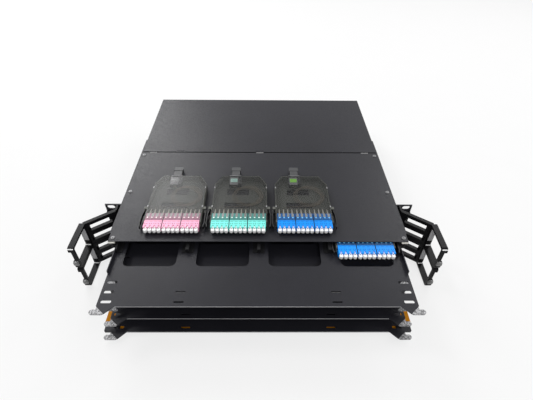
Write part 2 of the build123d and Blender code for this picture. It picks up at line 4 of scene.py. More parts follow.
import bmesh
import bpy
from bpy.props import FloatProperty, FloatVectorProperty, IntProperty, PointerProperty
from mathutils import Matrix, Vector
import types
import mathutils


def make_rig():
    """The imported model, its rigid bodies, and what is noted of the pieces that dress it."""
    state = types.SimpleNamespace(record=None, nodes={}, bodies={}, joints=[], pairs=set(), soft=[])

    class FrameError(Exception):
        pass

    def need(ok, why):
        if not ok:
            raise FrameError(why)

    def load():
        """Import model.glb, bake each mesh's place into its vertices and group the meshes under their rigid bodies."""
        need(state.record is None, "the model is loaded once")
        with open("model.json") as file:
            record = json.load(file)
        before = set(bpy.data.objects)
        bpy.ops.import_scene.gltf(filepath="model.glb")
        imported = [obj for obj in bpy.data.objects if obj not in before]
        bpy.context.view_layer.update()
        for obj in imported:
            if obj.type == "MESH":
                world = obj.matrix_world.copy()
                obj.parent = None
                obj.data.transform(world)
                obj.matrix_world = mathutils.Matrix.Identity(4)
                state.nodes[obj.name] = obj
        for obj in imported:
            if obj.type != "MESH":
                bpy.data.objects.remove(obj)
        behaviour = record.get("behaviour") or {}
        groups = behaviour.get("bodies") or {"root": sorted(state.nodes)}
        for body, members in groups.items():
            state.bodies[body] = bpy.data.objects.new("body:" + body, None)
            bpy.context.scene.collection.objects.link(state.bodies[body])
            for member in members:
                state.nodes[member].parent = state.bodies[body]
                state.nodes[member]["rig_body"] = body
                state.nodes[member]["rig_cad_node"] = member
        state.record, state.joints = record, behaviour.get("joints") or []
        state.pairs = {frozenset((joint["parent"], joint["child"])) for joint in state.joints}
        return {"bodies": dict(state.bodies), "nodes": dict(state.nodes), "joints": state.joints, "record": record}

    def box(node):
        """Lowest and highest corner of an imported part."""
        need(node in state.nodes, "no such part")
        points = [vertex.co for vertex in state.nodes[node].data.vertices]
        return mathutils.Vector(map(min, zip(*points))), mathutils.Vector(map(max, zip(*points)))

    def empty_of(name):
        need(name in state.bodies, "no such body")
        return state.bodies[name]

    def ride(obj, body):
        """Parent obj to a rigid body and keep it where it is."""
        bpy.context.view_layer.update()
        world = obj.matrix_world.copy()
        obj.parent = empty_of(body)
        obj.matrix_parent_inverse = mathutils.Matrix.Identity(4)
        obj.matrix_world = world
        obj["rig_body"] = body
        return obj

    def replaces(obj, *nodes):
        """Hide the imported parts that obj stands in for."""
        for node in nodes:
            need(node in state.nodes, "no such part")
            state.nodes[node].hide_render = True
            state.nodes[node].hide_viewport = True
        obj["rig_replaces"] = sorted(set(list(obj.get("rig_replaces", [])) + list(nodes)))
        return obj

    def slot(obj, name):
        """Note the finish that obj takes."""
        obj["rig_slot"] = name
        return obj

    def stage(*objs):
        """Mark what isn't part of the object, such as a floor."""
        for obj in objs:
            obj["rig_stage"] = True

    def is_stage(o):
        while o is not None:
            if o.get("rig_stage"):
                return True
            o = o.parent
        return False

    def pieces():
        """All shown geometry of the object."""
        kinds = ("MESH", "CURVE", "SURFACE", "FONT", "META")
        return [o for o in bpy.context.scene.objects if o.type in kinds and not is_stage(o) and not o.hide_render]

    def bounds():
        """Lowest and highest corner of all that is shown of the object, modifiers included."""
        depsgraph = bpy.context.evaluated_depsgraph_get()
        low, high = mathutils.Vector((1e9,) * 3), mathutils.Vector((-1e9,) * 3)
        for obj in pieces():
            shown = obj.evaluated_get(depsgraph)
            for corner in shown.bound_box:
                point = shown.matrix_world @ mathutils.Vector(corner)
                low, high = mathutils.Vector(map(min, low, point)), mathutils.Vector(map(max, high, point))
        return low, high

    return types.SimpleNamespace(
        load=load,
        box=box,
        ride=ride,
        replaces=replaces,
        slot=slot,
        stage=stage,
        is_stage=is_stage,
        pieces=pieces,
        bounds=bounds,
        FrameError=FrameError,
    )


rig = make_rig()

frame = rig.load()

bl_info = {
    "name": "Sliding fibre patch drawer",
    "version": (1, 0, 0),
    "blender": (4, 5, 0),
    "location": "View3D > Sidebar > Patch drawer",
    "description": "Dresses a two-unit rack drawer with six sliding trays and four fibre modules",
    "category": "Object",
}

MM = 0.001
MODULES = ("bay", "pink", "aqua", "blue")
TRAYS = range(1, 7)
ADAPTERS = 3
PORTS = 4
# In millimetres, the two heights from a module's underside
ADAPTER_PITCH = 26.8
PORT_PITCH = 6.45
LID_TOP = 11.5
ADAPTER_TOP = 10.2
COMB_PITCH = 44.4
# The depth of the finest grain, in metres
FINE = 0.00001
STEEL_NODES = ("base_pan", "rear_panel", "front_cover", "rear_cover", "rack_ears")
COMB_NODES = ("comb_left", "comb_right")


def colour_property(name, description, default):
    """A colour that a user may change."""
    return FloatVectorProperty(
        name=name, description=description, default=default, subtype="COLOR", size=3, min=0.0, max=1.0
    )


def length_property(name, description, millimetres):
    """A length that a user may change."""
    return FloatProperty(
        name=name, description=description, default=millimetres * MM, unit="LENGTH", min=0.0, precision=4
    )


def power_property(name, description, watts):
    """The power of a lamp, which a user may change."""
    return FloatProperty(name=name, description=description, default=watts, unit="POWER")


def angle_property(name, description, degrees):
    """An angle that a user may change."""
    return FloatProperty(
        name=name, description=description, default=math.radians(degrees), subtype="ANGLE"
    )


class DrawerFinishes(bpy.types.PropertyGroup):
    """The colours of the drawer's parts."""

    steel: colour_property("Powder coat", "Textured coat on the sheet steel", (0.013, 0.013, 0.017))
    runner: colour_property("Runner steel", "Plated steel of the channels", (0.07, 0.07, 0.075))
    comb: colour_property("Comb plastic", "Satin black moulding of the cable combs", (0.007, 0.007, 0.008))
    shell: colour_property("Shell plastic", "Moulding of the module boxes", (0.115, 0.12, 0.108))
    lid: colour_property("Smoked lid", "Tint of the clear module lids", (0.018, 0.019, 0.018))
    tab: colour_property("Pull tab", "Smoky moulding of the pull tabs", (0.31, 0.31, 0.32))
    strip: colour_property("Base strip", "Orange film on the base's floor", (0.55, 0.21, 0.008))
    pink: colour_property("Pink adapters", "Moulding of the pink adapters", (0.95, 0.42, 0.60))
    aqua: colour_property("Aqua adapters", "Moulding of the aqua adapters", (0.20, 0.84, 0.76))
    blue: colour_property("Blue adapters", "Moulding of the blue adapters", (0.0, 0.28, 0.95))
    cap: colour_property("Dust caps", "Soft white dust caps", (0.93, 0.93, 0.93))
    fibre: colour_property("Fibre", "Coated fibre under the lids", (0.26, 0.21, 0.15))
    milky: colour_property("Rear adapters", "Smoky moulding of the rear adapters", (0.045, 0.046, 0.048))
    brass: colour_property("Connector ends", "Pale boots of the inner connectors", (0.74, 0.70, 0.60))


class DrawerSizes(bpy.types.PropertyGroup):
    """The sizes of the finer pieces."""

    sheet_edge: length_property("Sheet edge", "Rounding of the sheet steel's edges", 0.25)
    moulded_edge: length_property("Moulded edge", "Rounding of the mouldings' edges", 0.4)
    cap_round: length_property("Cap rounding", "Rounding of the dust caps' rims", 1.1)
    cap_radius: length_property("Cap radius", "Radius of a dust cap's nose", 2.9)
    screw_radius: length_property("Screw head", "Radius of the screw heads", 3.0)
    screw_height: length_property("Screw height", "Height of the screw heads", 1.2)
    fibre_radius: length_property("Fibre radius", "Half thickness of the fibres under the lids", 0.09)
    screw_sides: IntProperty(
        name="Screw sides", description="Sides of a screw head", default=24, min=24, max=48
    )


class DrawerStudio(bpy.types.PropertyGroup):
    """The floor, the lamps and the camera."""

    floor: colour_property("Floor", "Pale plain floor", (0.93, 0.93, 0.93))
    backdrop: FloatProperty(
        name="Backdrop", description="How far the floor fades to plain white", default=0.8, min=0.0, max=1.0
    )
    sky: FloatProperty(name="Sky", description="Strength of the even light", default=0.25, min=0.0)
    rear: power_property("Rear lamp", "Power of the lamp at the left rear", 31.0)
    left: power_property("Left lamp", "Power of the lamp at the left", 8.0)
    right: power_property("Right lamp", "Power of the lamp at the right", 12.0)
    far: power_property("Right rear lamp", "Power of the lamp at the right rear", 12.0)
    front: power_property("Front lamp", "Power of the small lamp above the camera", 15.0)
    lens: FloatProperty(name="Lens", description="Focal length on a 36 mm wide sensor", default=26.146)
    pitch: angle_property("Pitch", "How far the camera looks down", 42.477)
    yaw: angle_property("Yaw", "How far the camera turns right", 0.851)
    roll: angle_property("Roll", "How far the camera tips", 0.754)
    place: FloatVectorProperty(
        name="Place", description="Where the camera stands", default=(0.004726, -0.442481, 0.503156),
        subtype="TRANSLATION",
    )


# Finishes

def grained(name, colour, roughness, grain, relief, mottle=0.12, spread=0.08, **sockets):
    """A finish with a fine grain, a slow change of tone and a patchy gloss."""
    material = bpy.data.materials.new(name)
    material.use_nodes = True
    nodes = material.node_tree.nodes
    links = material.node_tree.links
    shader = nodes["Principled BSDF"]
    place = nodes.new("ShaderNodeTexCoord")

    tone = nodes.new("ShaderNodeTexNoise")
    tone.inputs["Scale"].default_value = 14.0
    tone.inputs["Detail"].default_value = 3.0
    links.new(place.outputs["Object"], tone.inputs["Vector"])
    shades = nodes.new("ShaderNodeValToRGB")
    shades.color_ramp.elements[0].position = 0.3
    shades.color_ramp.elements[1].position = 0.7
    shades.color_ramp.elements[0].color = [c * (1 - mottle) for c in colour] + [1]
    shades.color_ramp.elements[1].color = [min(c * (1 + mottle), 1) for c in colour] + [1]
    links.new(tone.outputs["Fac"], shades.inputs["Fac"])
    links.new(shades.outputs["Color"], shader.inputs["Base Color"])

    fine = nodes.new("ShaderNodeTexNoise")
    fine.inputs["Scale"].default_value = grain
    fine.inputs["Detail"].default_value = 2.0
    links.new(place.outputs["Object"], fine.inputs["Vector"])
    gloss = nodes.new("ShaderNodeMapRange")
    gloss.inputs["From Min"].default_value = 0.3
    gloss.inputs["From Max"].default_value = 0.7
    gloss.inputs["To Min"].default_value = roughness - spread
    gloss.inputs["To Max"].default_value = roughness + spread
    links.new(fine.outputs["Fac"], gloss.inputs["Value"])
    links.new(gloss.outputs["Result"], shader.inputs["Roughness"])

    bump = nodes.new("ShaderNodeBump")
    bump.inputs["Strength"].default_value = 0.6
    bump.inputs["Distance"].default_value = relief
    links.new(fine.outputs["Fac"], bump.inputs["Height"])
    links.new(bump.outputs["Normal"], shader.inputs["Normal"])
    for socket, value in sockets.items():
        shader.inputs[socket.replace("_", " ")].default_value = value
    return material


def white_seen(nodes, links, share):
    """How much of a plain white the camera, mirrors and clear parts see."""
    path = nodes.new("ShaderNodeLightPath")
    seen = path.outputs["Is Camera Ray"]
    for other in ("Is Glossy Ray", "Is Transmission Ray"):
        either = nodes.new("ShaderNodeMath")
        either.operation = "MAXIMUM"
        links.new(seen, either.inputs[0])
        links.new(path.outputs[other], either.inputs[1])
        seen = either.outputs["Value"]
    scaled = nodes.new("ShaderNodeMath")
    scaled.operation = "MULTIPLY"
    scaled.inputs[1].default_value = share
    links.new(seen, scaled.inputs[0])
    return scaled.outputs["Value"]


def pale_floor(name, colour, share):
    """A matt pale floor that fades to plain white and keeps the shadows."""
    material = grained(
        name, colour, roughness=0.8, grain=20.0, relief=FINE, mottle=0.01, Specular_IOR_Level=0.1
    )
    nodes = material.node_tree.nodes
    links = material.node_tree.links
    white = nodes.new("ShaderNodeEmission")
    white.inputs["Color"].default_value = (*colour, 1.0)
    blend = nodes.new("ShaderNodeMixShader")
    links.new(white_seen(nodes, links, share), blend.inputs["Fac"])
    links.new(nodes["Principled BSDF"].outputs["BSDF"], blend.inputs[1])
    links.new(white.outputs["Emission"], blend.inputs[2])
    links.new(blend.outputs["Shader"], nodes["Material Output"].inputs["Surface"])
    return material


def bubbly(name, colour):
    """A smoky translucent moulding full of small bubbles."""
    material = grained(name, colour, roughness=0.25, grain=700.0, relief=0.00005, mottle=0.3)
    nodes = material.node_tree.nodes
    links = material.node_tree.links
    shader = nodes["Principled BSDF"]
    place = nodes.new("ShaderNodeTexCoord")
    cells = nodes.new("ShaderNodeTexVoronoi")
    cells.inputs["Scale"].default_value = 520.0
    links.new(place.outputs["Object"], cells.inputs["Vector"])
    shades = nodes.new("ShaderNodeValToRGB")
    shades.color_ramp.elements[0].position = 0.1
    shades.color_ramp.elements[1].position = 0.75
    shades.color_ramp.elements[0].color = [min(c * 1.7, 1) for c in colour] + [1]
    shades.color_ramp.elements[1].color = [c * 0.35 for c in colour] + [1]
    links.new(cells.outputs["Distance"], shades.inputs["Fac"])
    links.new(shades.outputs["Color"], shader.inputs["Base Color"])
    bump = nodes.new("ShaderNodeBump")
    bump.inputs["Strength"].default_value = 0.8
    bump.inputs["Distance"].default_value = 0.0003
    bump.invert = True
    links.new(cells.outputs["Distance"], bump.inputs["Height"])
    links.new(bump.outputs["Normal"], shader.inputs["Normal"])
    return material


def coat(node, material, edge=0.0):
    """Gives a CAD node its finish and rounds its sharp edges a little."""
    target = frame["nodes"][node]
    target.data.materials.clear()
    target.data.materials.append(material)
    if edge:
        weld = target.modifiers.new("Weld", "WELD")
        weld.merge_threshold = 0.00001
        bevel = target.modifiers.new("Edge", "BEVEL")
        bevel.width = edge
        bevel.segments = 2
        bevel.limit_method = "ANGLE"
        bevel.angle_limit = math.radians(40)
        bevel.harden_normals = True


# Helpers for the finer pieces; all their sizes are in millimetres until a piece is placed

def add_box(mesh, low, high):
    """A box between two corners, and its vertices."""
    made = bmesh.ops.create_cube(mesh, size=1.0)["verts"]
    size = [b - a for a, b in zip(low, high)]
    middle = [(a + b) / 2 for a, b in zip(low, high)]
    bmesh.ops.scale(mesh, vec=size, verts=made)
    bmesh.ops.translate(mesh, vec=middle, verts=made)
    return made


def add_bar(mesh, start_radius, end_radius, length, place, along="Z", sides=16):
    """A round bar from a place along an axis, and its vertices."""
    made = bmesh.ops.create_cone(
        mesh, cap_ends=True, segments=sides, radius1=start_radius, radius2=end_radius, depth=length
    )["verts"]
    bmesh.ops.translate(mesh, vec=(0, 0, length / 2), verts=made)
    turns = {"Y": Matrix.Rotation(math.radians(-90), 3, "X"), "X": Matrix.Rotation(math.radians(90), 3, "Y")}
    if along in turns:
        bmesh.ops.rotate(mesh, cent=(0, 0, 0), matrix=turns[along], verts=made)
    bmesh.ops.translate(mesh, vec=place, verts=made)
    return made


def add_slab(mesh, middle, half, depth, height):
    """A box about a middle in X, between two places in Y and two in Z, and its vertices."""
    return add_box(mesh, (middle - half, depth[0], height[0]), (middle + half, depth[1], height[1]))


def edges_of(verts):
    """The edges that meet in some vertices."""
    return list({e for v in verts for e in v.link_edges})


def round_edges(mesh, edges, offset, segments=2):
    """Rounds some edges."""
    bmesh.ops.bevel(
        mesh, geom=edges, offset=offset, segments=segments, profile=0.5, affect="EDGES",
        material=-1, clamp_overlap=True,
    )


def copies(mesh, places):
    """Repeats everything in the mesh at each place, the first one included."""
    source = mesh.verts[:] + mesh.edges[:] + mesh.faces[:]
    for place in places[1:]:
        made = bmesh.ops.duplicate(mesh, geom=source)["geom"]
        shift = Vector(place) - Vector(places[0])
        bmesh.ops.translate(mesh, vec=shift, verts=[g for g in made if isinstance(g, bmesh.types.BMVert)])
    bmesh.ops.translate(mesh, vec=places[0], verts=mesh.verts)


def place_piece(mesh, name, body, finish, material, place=(0, 0, 0), sharp=35):
    """Turns the mesh into a piece of the drawer that rides on a body."""
    bmesh.ops.scale(mesh, vec=(MM, MM, MM), verts=mesh.verts)
    bmesh.ops.translate(mesh, vec=place, verts=mesh.verts)
    bmesh.ops.recalc_face_normals(mesh, faces=mesh.faces)
    for face in mesh.faces:
        face.smooth = True
    data = bpy.data.meshes.new(name)
    mesh.to_mesh(data)
    mesh.free()
    data.set_sharp_from_angle(angle=math.radians(sharp))
    piece = bpy.data.objects.new(name, data)
    bpy.context.scene.collection.objects.link(piece)
    data.materials.append(material)
    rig.ride(piece, body)
    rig.slot(piece, finish)
    return piece


def module_place(module):
    """The middle in X, the front of the caps in Y and the underside in Z of a module."""
    low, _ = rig.box(f"{module}_module_shell")
    front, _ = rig.box(f"{module}_module_dust_caps")
    adapters_low, adapters_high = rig.box(f"{module}_module_adapters")
    return Vector(((adapters_low.x + adapters_high.x) / 2, front.y, low.z))


def port_places():
    """The middle of each port in X, in millimetres from the module's middle."""
    places = []
    for adapter in range(ADAPTERS):
        for port in range(PORTS):
            places.append(ADAPTER_PITCH * (adapter - 1) + PORT_PITCH * (port - 1.5))
    return places


def module_colour(module):
    """The colour of a module's adapters; the one in tray 1 is blue too."""
    return "blue" if module == "bay" else module


class DRAWER_OT_housing(bpy.types.Operator):
    """Coat the housing and the trays, and make the film's ends, the covers' joint with its painted shade and
    highlights, and the painted highlights along the lips
    """

    bl_idname = "drawer.housing"
    bl_label = "Housing"

    def film_ends(self, film):
        """The ends of the orange film, which stand a little past the base's sides."""
        low, high = (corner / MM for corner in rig.box("base_strip"))
        overhang = 3.6
        lap = 0.1
        front = low.y + 9.0
        mesh = bmesh.new()
        add_box(mesh, (low.x - overhang, front, low.z), (low.x + lap, high.y, high.z))
        add_box(mesh, (high.x - lap, front, low.z), (high.x + overhang, high.y, high.z))
        place_piece(mesh, "base_strip_ends", "chassis", "orange_film", film)

    def cover_seam(self):
        """The joint of the covers, darkened by a black bar wider than its gap as painted shade, and three painted
        highlights on it.
        """
        low, high = (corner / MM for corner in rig.box("rear_cover"))
        end_gap = 0.5
        front, back = low.y - 2.3, low.y - 0.2
        sunk, proud = 0.1, 0.06
        # A black bar a little wider than the real gap between the covers: the joint line, widened with painted shade.
        seam_shade_bar = bmesh.new()
        add_box(seam_shade_bar, (low.x + end_gap, front, high.z - sunk), (high.x - end_gap, back, high.z + proud))
        black = (0.001, 0.001, 0.001)
        shade = grained("seam_painted_shade", black, roughness=0.8, grain=600.0, relief=FINE, Specular_IOR_Level=0.0)
        place_piece(seam_shade_bar, "cover_seam_shade_bar", "chassis", "black_steel", shade)
        # Three light-grey bars across the joint: painted highlights where the covers' tongues catch the light.
        radius = 0.5
        length = 13.0
        seam_highlights = bmesh.new()
        for middle in (-194.0, 0.0, 192.0):
            start = (middle - length / 2, low.y - 2.6, high.z)
            add_bar(seam_highlights, radius, radius, length, start, along="X", sides=8)
        # Light grey for the painted highlights on the joint.
        edge = grained("seam_painted_highlight", (0.5, 0.5, 0.5), roughness=0.4, grain=600.0, relief=FINE)
        place_piece(seam_highlights, "cover_seam_painted_highlights", "chassis", "black_steel", edge)

    def lip_highlight(self, tray, edge):
        """A light-grey bar along a tray's rolled lip, just under the floor's top: a painted highlight where the lip's
        bend catches the light.
        """
        low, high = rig.box(f"tray_{tray}")
        radius = 0.6
        half = high.x / MM - 23.0
        start = (-half, low.y / MM + 10.5, high.z / MM - 6.75)
        mesh = bmesh.new()
        add_bar(mesh, radius, radius, 2 * half, start, along="X")
        place_piece(mesh, f"tray_{tray}_lip_highlight", f"tray_{tray}", "black_steel", edge)

    def execute(self, context):
        finishes = context.scene.drawer_finishes
        sizes = context.scene.drawer_sizes
        coating = grained(
            "powder_coat", finishes.steel, roughness=0.42, grain=620.0, relief=0.00016, spread=0.13,
            Specular_IOR_Level=0.2,
        )
        for node in STEEL_NODES:
            coat(node, coating, sizes.sheet_edge)
        plated = grained(
            "plated_channel", finishes.runner, roughness=0.35, grain=500.0, relief=0.00002, Metallic=0.6
        )
        coat("runners", plated)
        film = grained(
            "orange_film", finishes.strip, roughness=0.5, grain=240.0, relief=0.0001, Specular_IOR_Level=0.05
        )
        coat("base_strip", film)
        self.film_ends(film)
        self.cover_seam()
        # Light grey for the bars along the lips: painted highlight.
        edge = grained("lip_painted_highlight", (0.30, 0.30, 0.31), roughness=0.35, grain=620.0, relief=0.00005)
        for tray in TRAYS:
            coat(f"tray_{tray}", coating, sizes.sheet_edge)
            self.lip_highlight(tray, edge)
        return {"FINISHED"}


class DRAWER_OT_mouldings(bpy.types.Operator):
    """Finish the cable combs, the module guides and the pull tabs"""

    bl_idname = "drawer.mouldings"
    bl_label = "Combs, guides and tabs"

    def execute(self, context):
        finishes = context.scene.drawer_finishes
        sizes = context.scene.drawer_sizes
        satin = grained(
            "comb_moulding", finishes.comb, roughness=0.3, grain=900.0, relief=FINE, Specular_IOR_Level=0.06
        )
        for node in COMB_NODES:
            coat(node, satin, sizes.moulded_edge)
        matt = grained(
            "guide_moulding", finishes.comb, roughness=0.6, grain=900.0, relief=0.00002,
            Specular_IOR_Level=0.15,
        )
        smoky = bubbly("smoky_tab", finishes.tab)
        for tray in TRAYS:
            coat(f"tray_{tray}_guides", matt)
            coat(f"tray_{tray}_tabs", smoky, sizes.moulded_edge)
        return {"FINISHED"}


class DRAWER_OT_comb_details(bpy.types.Operator):
    """Make the painted reflections, painted highlights and lighter hook lips of the cable combs and the pads under the
    cover's corners
    """

    bl_idname = "drawer.comb_details"
    bl_label = "Comb details"

    def combs(self):
        """Light-grey pads on the posts as painted reflection, pale bars at the bends as painted highlights, and hook
        lips in a lighter grey than the comb as painted light, on both combs, each comb two units high.
        """
        low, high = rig.box("comb_right")
        outer = high.x / MM
        front = low.y / MM
        strip = 8.5
        post = front + 44.0
        post_bend = post - 1.6
        highlight_radius = 0.9
        highlight_length = strip - 0.4
        pads = bmesh.new()
        bend_highlights = bmesh.new()
        lips = bmesh.new()
        for sign in (-1, 1):
            left, right = sorted((sign * (outer - strip), sign * outer))
            bend = left + 0.2
            for bottom in (0.0, COMB_PITCH):
                # A thin light-grey pad on each post's inner face: painted reflection of the pale floor.
                reflection_low = (left + 0.5, post - 0.2, bottom + 13.0)
                reflection_high = (right - 0.5, post + 0.1, bottom + 37.0)
                add_box(pads, reflection_low, reflection_high)
                # A pale bar across the strip at each bend: painted highlight where the rounded bend catches the light.
                start = (bend, post_bend, bottom + 4.2)
                add_bar(bend_highlights, highlight_radius, highlight_radius, highlight_length, start, along="X", sides=12)
                # Hook lips at the rings' fronts, in a grey lighter than the comb's black: painted light on their
                # fronts.
                hook_low = (left + 0.3, front - 2.6, bottom + 9.0)
                hook_high = (right - 0.3, front + 1.0, bottom + 15.6)
                round_edges(lips, edges_of(add_box(lips, hook_low, hook_high)), 1.1)
            start = (bend, front + 0.9, COMB_PITCH + 41.4)
            add_bar(bend_highlights, highlight_radius, highlight_radius, highlight_length, start, along="X", sides=12)
        # Light grey for the painted reflections on the posts.
        post_reflection_finish = grained("post_painted_reflection", (0.33, 0.33, 0.34), roughness=0.45, grain=600.0, relief=FINE)
        # Near white for the painted highlights at the bends.
        bend_highlight_finish = grained("bend_painted_highlight", (0.90, 0.90, 0.90), roughness=0.3, grain=600.0, relief=FINE)
        # A grey lighter than the comb's black moulding: painted light.
        lip = grained("hook_lip_painted_light", (0.13, 0.13, 0.13), roughness=0.3, grain=600.0, relief=FINE, mottle=0.3)
        place_piece(pads, "comb_post_painted_reflections", "chassis", "black_plastic", post_reflection_finish)
        place_piece(bend_highlights, "comb_bend_painted_highlights", "chassis", "black_plastic", bend_highlight_finish)
        place_piece(lips, "comb_hook_lips", "chassis", "black_plastic", lip)

    def corner_pads(self):
        """The cream pads under the front corners of the cover."""
        low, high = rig.box("front_cover")
        width = 9.5
        front, back = low.y / MM - 1.2, low.y / MM + 16.5
        bottom, top = low.z / MM - 2.4, low.z / MM - 0.1
        mesh = bmesh.new()
        for sign in (-1, 1):
            left, right = sorted((sign * (high.x / MM - width), sign * high.x / MM))
            made = add_box(mesh, (left, front, bottom), (right, back, top))
            round_edges(mesh, edges_of(made), 0.3)
        cream = grained("corner_pad", (0.80, 0.78, 0.72), roughness=0.45, grain=600.0, relief=FINE)
        place_piece(mesh, "cover_corner_pads", "chassis", "zinc_steel", cream)

    def execute(self, context):
        self.combs()
        self.corner_pads()
        return {"FINISHED"}


class DRAWER_OT_screws(bpy.types.Operator):
    """Make the cover, bracket and comb screws with their cross recesses"""

    bl_idname = "drawer.screws"
    bl_label = "Screws"

    def head(self, mesh, sizes):
        """A domed head standing on Z = 0 with a cross sunk in its top."""
        radius = sizes.screw_radius / MM
        height = sizes.screw_height / MM
        arm_angle = 18
        arm_reach, hub_reach = 0.56, 0.2
        made = add_bar(mesh, radius, radius * 0.96, height, (0, 0, 0), sides=sizes.screw_sides)
        rim = [e for e in edges_of(made) if min(v.co.z for v in e.verts) > height * 0.9]
        round_edges(mesh, rim, height * 0.45, segments=3)
        top = max(mesh.faces, key=lambda f: f.calc_center_median().z)
        bmesh.ops.inset_region(mesh, faces=[top], thickness=radius * 0.2)
        for vert in top.verts:
            turn = math.degrees(math.atan2(vert.co.y, vert.co.x)) % 90
            off = min(turn, 90 - turn)
            reach = radius * (arm_reach if off < arm_angle else hub_reach)
            flat = Vector((vert.co.x, vert.co.y, 0)).normalized() * reach
            vert.co.x, vert.co.y = flat.x, flat.y
        sunk = bmesh.ops.extrude_face_region(mesh, geom=[top])["geom"]
        bmesh.ops.delete(mesh, geom=[top], context="FACES_ONLY")
        moved = [g for g in sunk if isinstance(g, bmesh.types.BMVert)]
        bmesh.ops.translate(mesh, vec=(0, 0, -height * 0.6), verts=moved)

    def spots(self):
        """Where each head stands, and how it is turned: on the cover, on the sides and on the ears."""
        _, cover_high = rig.box("front_cover")
        ears_low, ears_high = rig.box("rack_ears")
        top = cover_high.z / MM
        side = cover_high.x / MM + 2.0
        middle = (ears_low.z + ears_high.z) / 2 / MM
        cover_inset = 7.5
        ear_reach, ear_front = 16, -3.2
        spots = []
        for sign in (-1, 1):
            for y in (-70.0, 30.0, 130.0):
                spots.append(Matrix.Translation((sign * (side - cover_inset), y, top)))
            for y in (-50.0, 60.0, 160.0):
                turn = Matrix.Rotation(math.radians(90 * sign), 4, "Y")
                spots.append(Matrix.Translation((sign * side, y, middle)) @ turn)
            for step in (-0.5, 0.5):
                turn = Matrix.Rotation(math.radians(90), 4, "X")
                place = (sign * (side + ear_reach), ear_front, middle + step * COMB_PITCH)
                spots.append(Matrix.Translation(place) @ turn)
        return spots

    def execute(self, context):
        twist = 23
        mesh = bmesh.new()
        for index, spot in enumerate(self.spots()):
            one = bmesh.new()
            self.head(one, context.scene.drawer_sizes)
            turn = Matrix.Rotation(math.radians(twist * index), 3, "Z")
            bmesh.ops.rotate(one, cent=(0, 0, 0), matrix=turn, verts=one.verts)
            bmesh.ops.transform(one, matrix=spot, verts=one.verts)
            part = bpy.data.meshes.new("screw_part")
            one.to_mesh(part)
            one.free()
            mesh.from_mesh(part)
            bpy.data.meshes.remove(part)
        plated = grained(
            "plated_screw", (0.20, 0.20, 0.205), roughness=0.4, grain=600.0, relief=0.00002, Metallic=0.3,
            Specular_IOR_Level=0.3,
        )
        piece = place_piece(mesh, "screw_heads", "chassis", "black_screw", plated)
        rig.replaces(piece, "screws")
        return {"FINISHED"}


class DRAWER_OT_modules(bpy.types.Operator):
    """Finish the module boxes, lids, adapters, latches and rear adapters"""

    bl_idname = "drawer.modules"
    bl_label = "Fibre modules"

    def execute(self, context):
        finishes = context.scene.drawer_finishes
        sizes = context.scene.drawer_sizes
        moulded = grained(
            "shell_moulding", finishes.shell, roughness=0.5, grain=120.0, relief=0.0, spread=0.0,
            Specular_IOR_Level=0.15,
        )
        clear = grained(
            "smoked_lid", finishes.lid, roughness=0.27, grain=9.0, relief=0.0, mottle=0.05, spread=0.0,
            Alpha=0.28, Specular_IOR_Level=0.45,
        )
        milky = grained(
            "milky_adapter", finishes.milky, roughness=0.45, grain=300.0, relief=0.00002, mottle=0.1,
            Specular_IOR_Level=0.3,
        )
        latch = grained(
            "latch_moulding", finishes.comb, roughness=0.45, grain=700.0, relief=FINE, Specular_IOR_Level=0.25
        )
        paints = {}
        for name in ("pink", "aqua", "blue"):
            paints[name] = grained(
                f"{name}_adapter", getattr(finishes, name), roughness=0.4, grain=600.0, relief=FINE,
                mottle=0.08, Specular_IOR_Level=0.25,
            )
        for module in MODULES:
            body = f"{module}_module"
            coat(f"{body}_shell", moulded, sizes.moulded_edge / 2)
            coat(f"{body}_lid", clear)
            coat(f"{body}_adapters", paints[module_colour(module)], sizes.moulded_edge / 2)
            coat(f"{body}_rear_adapter", milky, sizes.moulded_edge / 2)
            coat(f"{body}_latch_left", latch, sizes.moulded_edge / 2)
            coat(f"{body}_latch_right", latch, sizes.moulded_edge / 2)
        return {"FINISHED"}


class DRAWER_OT_caps(bpy.types.Operator):
    """Make the rounded dust caps of every module"""

    bl_idname = "drawer.caps"
    bl_label = "Dust caps"

    def cap(self, mesh, sizes):
        """One drop-shaped cap at X = 0, its nose at Y = 0, with its neck behind it."""
        radius = sizes.cap_radius / MM
        depth = 6.5
        bottom, top = 3.0, 8.4
        pinch = 0.5
        made = bmesh.ops.create_circle(mesh, cap_ends=True, segments=24, radius=radius)["verts"]
        for vert in made:
            along = vert.co.y / radius
            if along > 0:
                vert.co.y += along * (depth - 2 * radius)
                vert.co.x *= 1 - pinch * along
            vert.co.y += radius
            vert.co.z = bottom
        body = bmesh.ops.extrude_face_region(mesh, geom=list(mesh.faces))["geom"]
        risen = [g for g in body if isinstance(g, bmesh.types.BMVert)]
        bmesh.ops.translate(mesh, vec=(0, 0, top - bottom), verts=risen)
        rims = [e for e in mesh.edges if abs(e.verts[0].co.z - e.verts[1].co.z) < 0.01]
        round_edges(mesh, rims, sizes.cap_round / MM, segments=3)
        add_slab(mesh, 0.0, 2.4, (4.3, 12.4), (bottom, top))

    def execute(self, context):
        finishes = context.scene.drawer_finishes
        white = grained("white_cap", finishes.cap, roughness=0.45, grain=500.0, relief=0.00003, mottle=0.04)
        for module in MODULES:
            mesh = bmesh.new()
            self.cap(mesh, context.scene.drawer_sizes)
            copies(mesh, [(x, 0, 0) for x in port_places()])
            body = f"{module}_module"
            piece = place_piece(mesh, f"{module}_caps", body, "white_plastic", white, module_place(module))
            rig.replaces(piece, f"{body}_dust_caps")
        return {"FINISHED"}


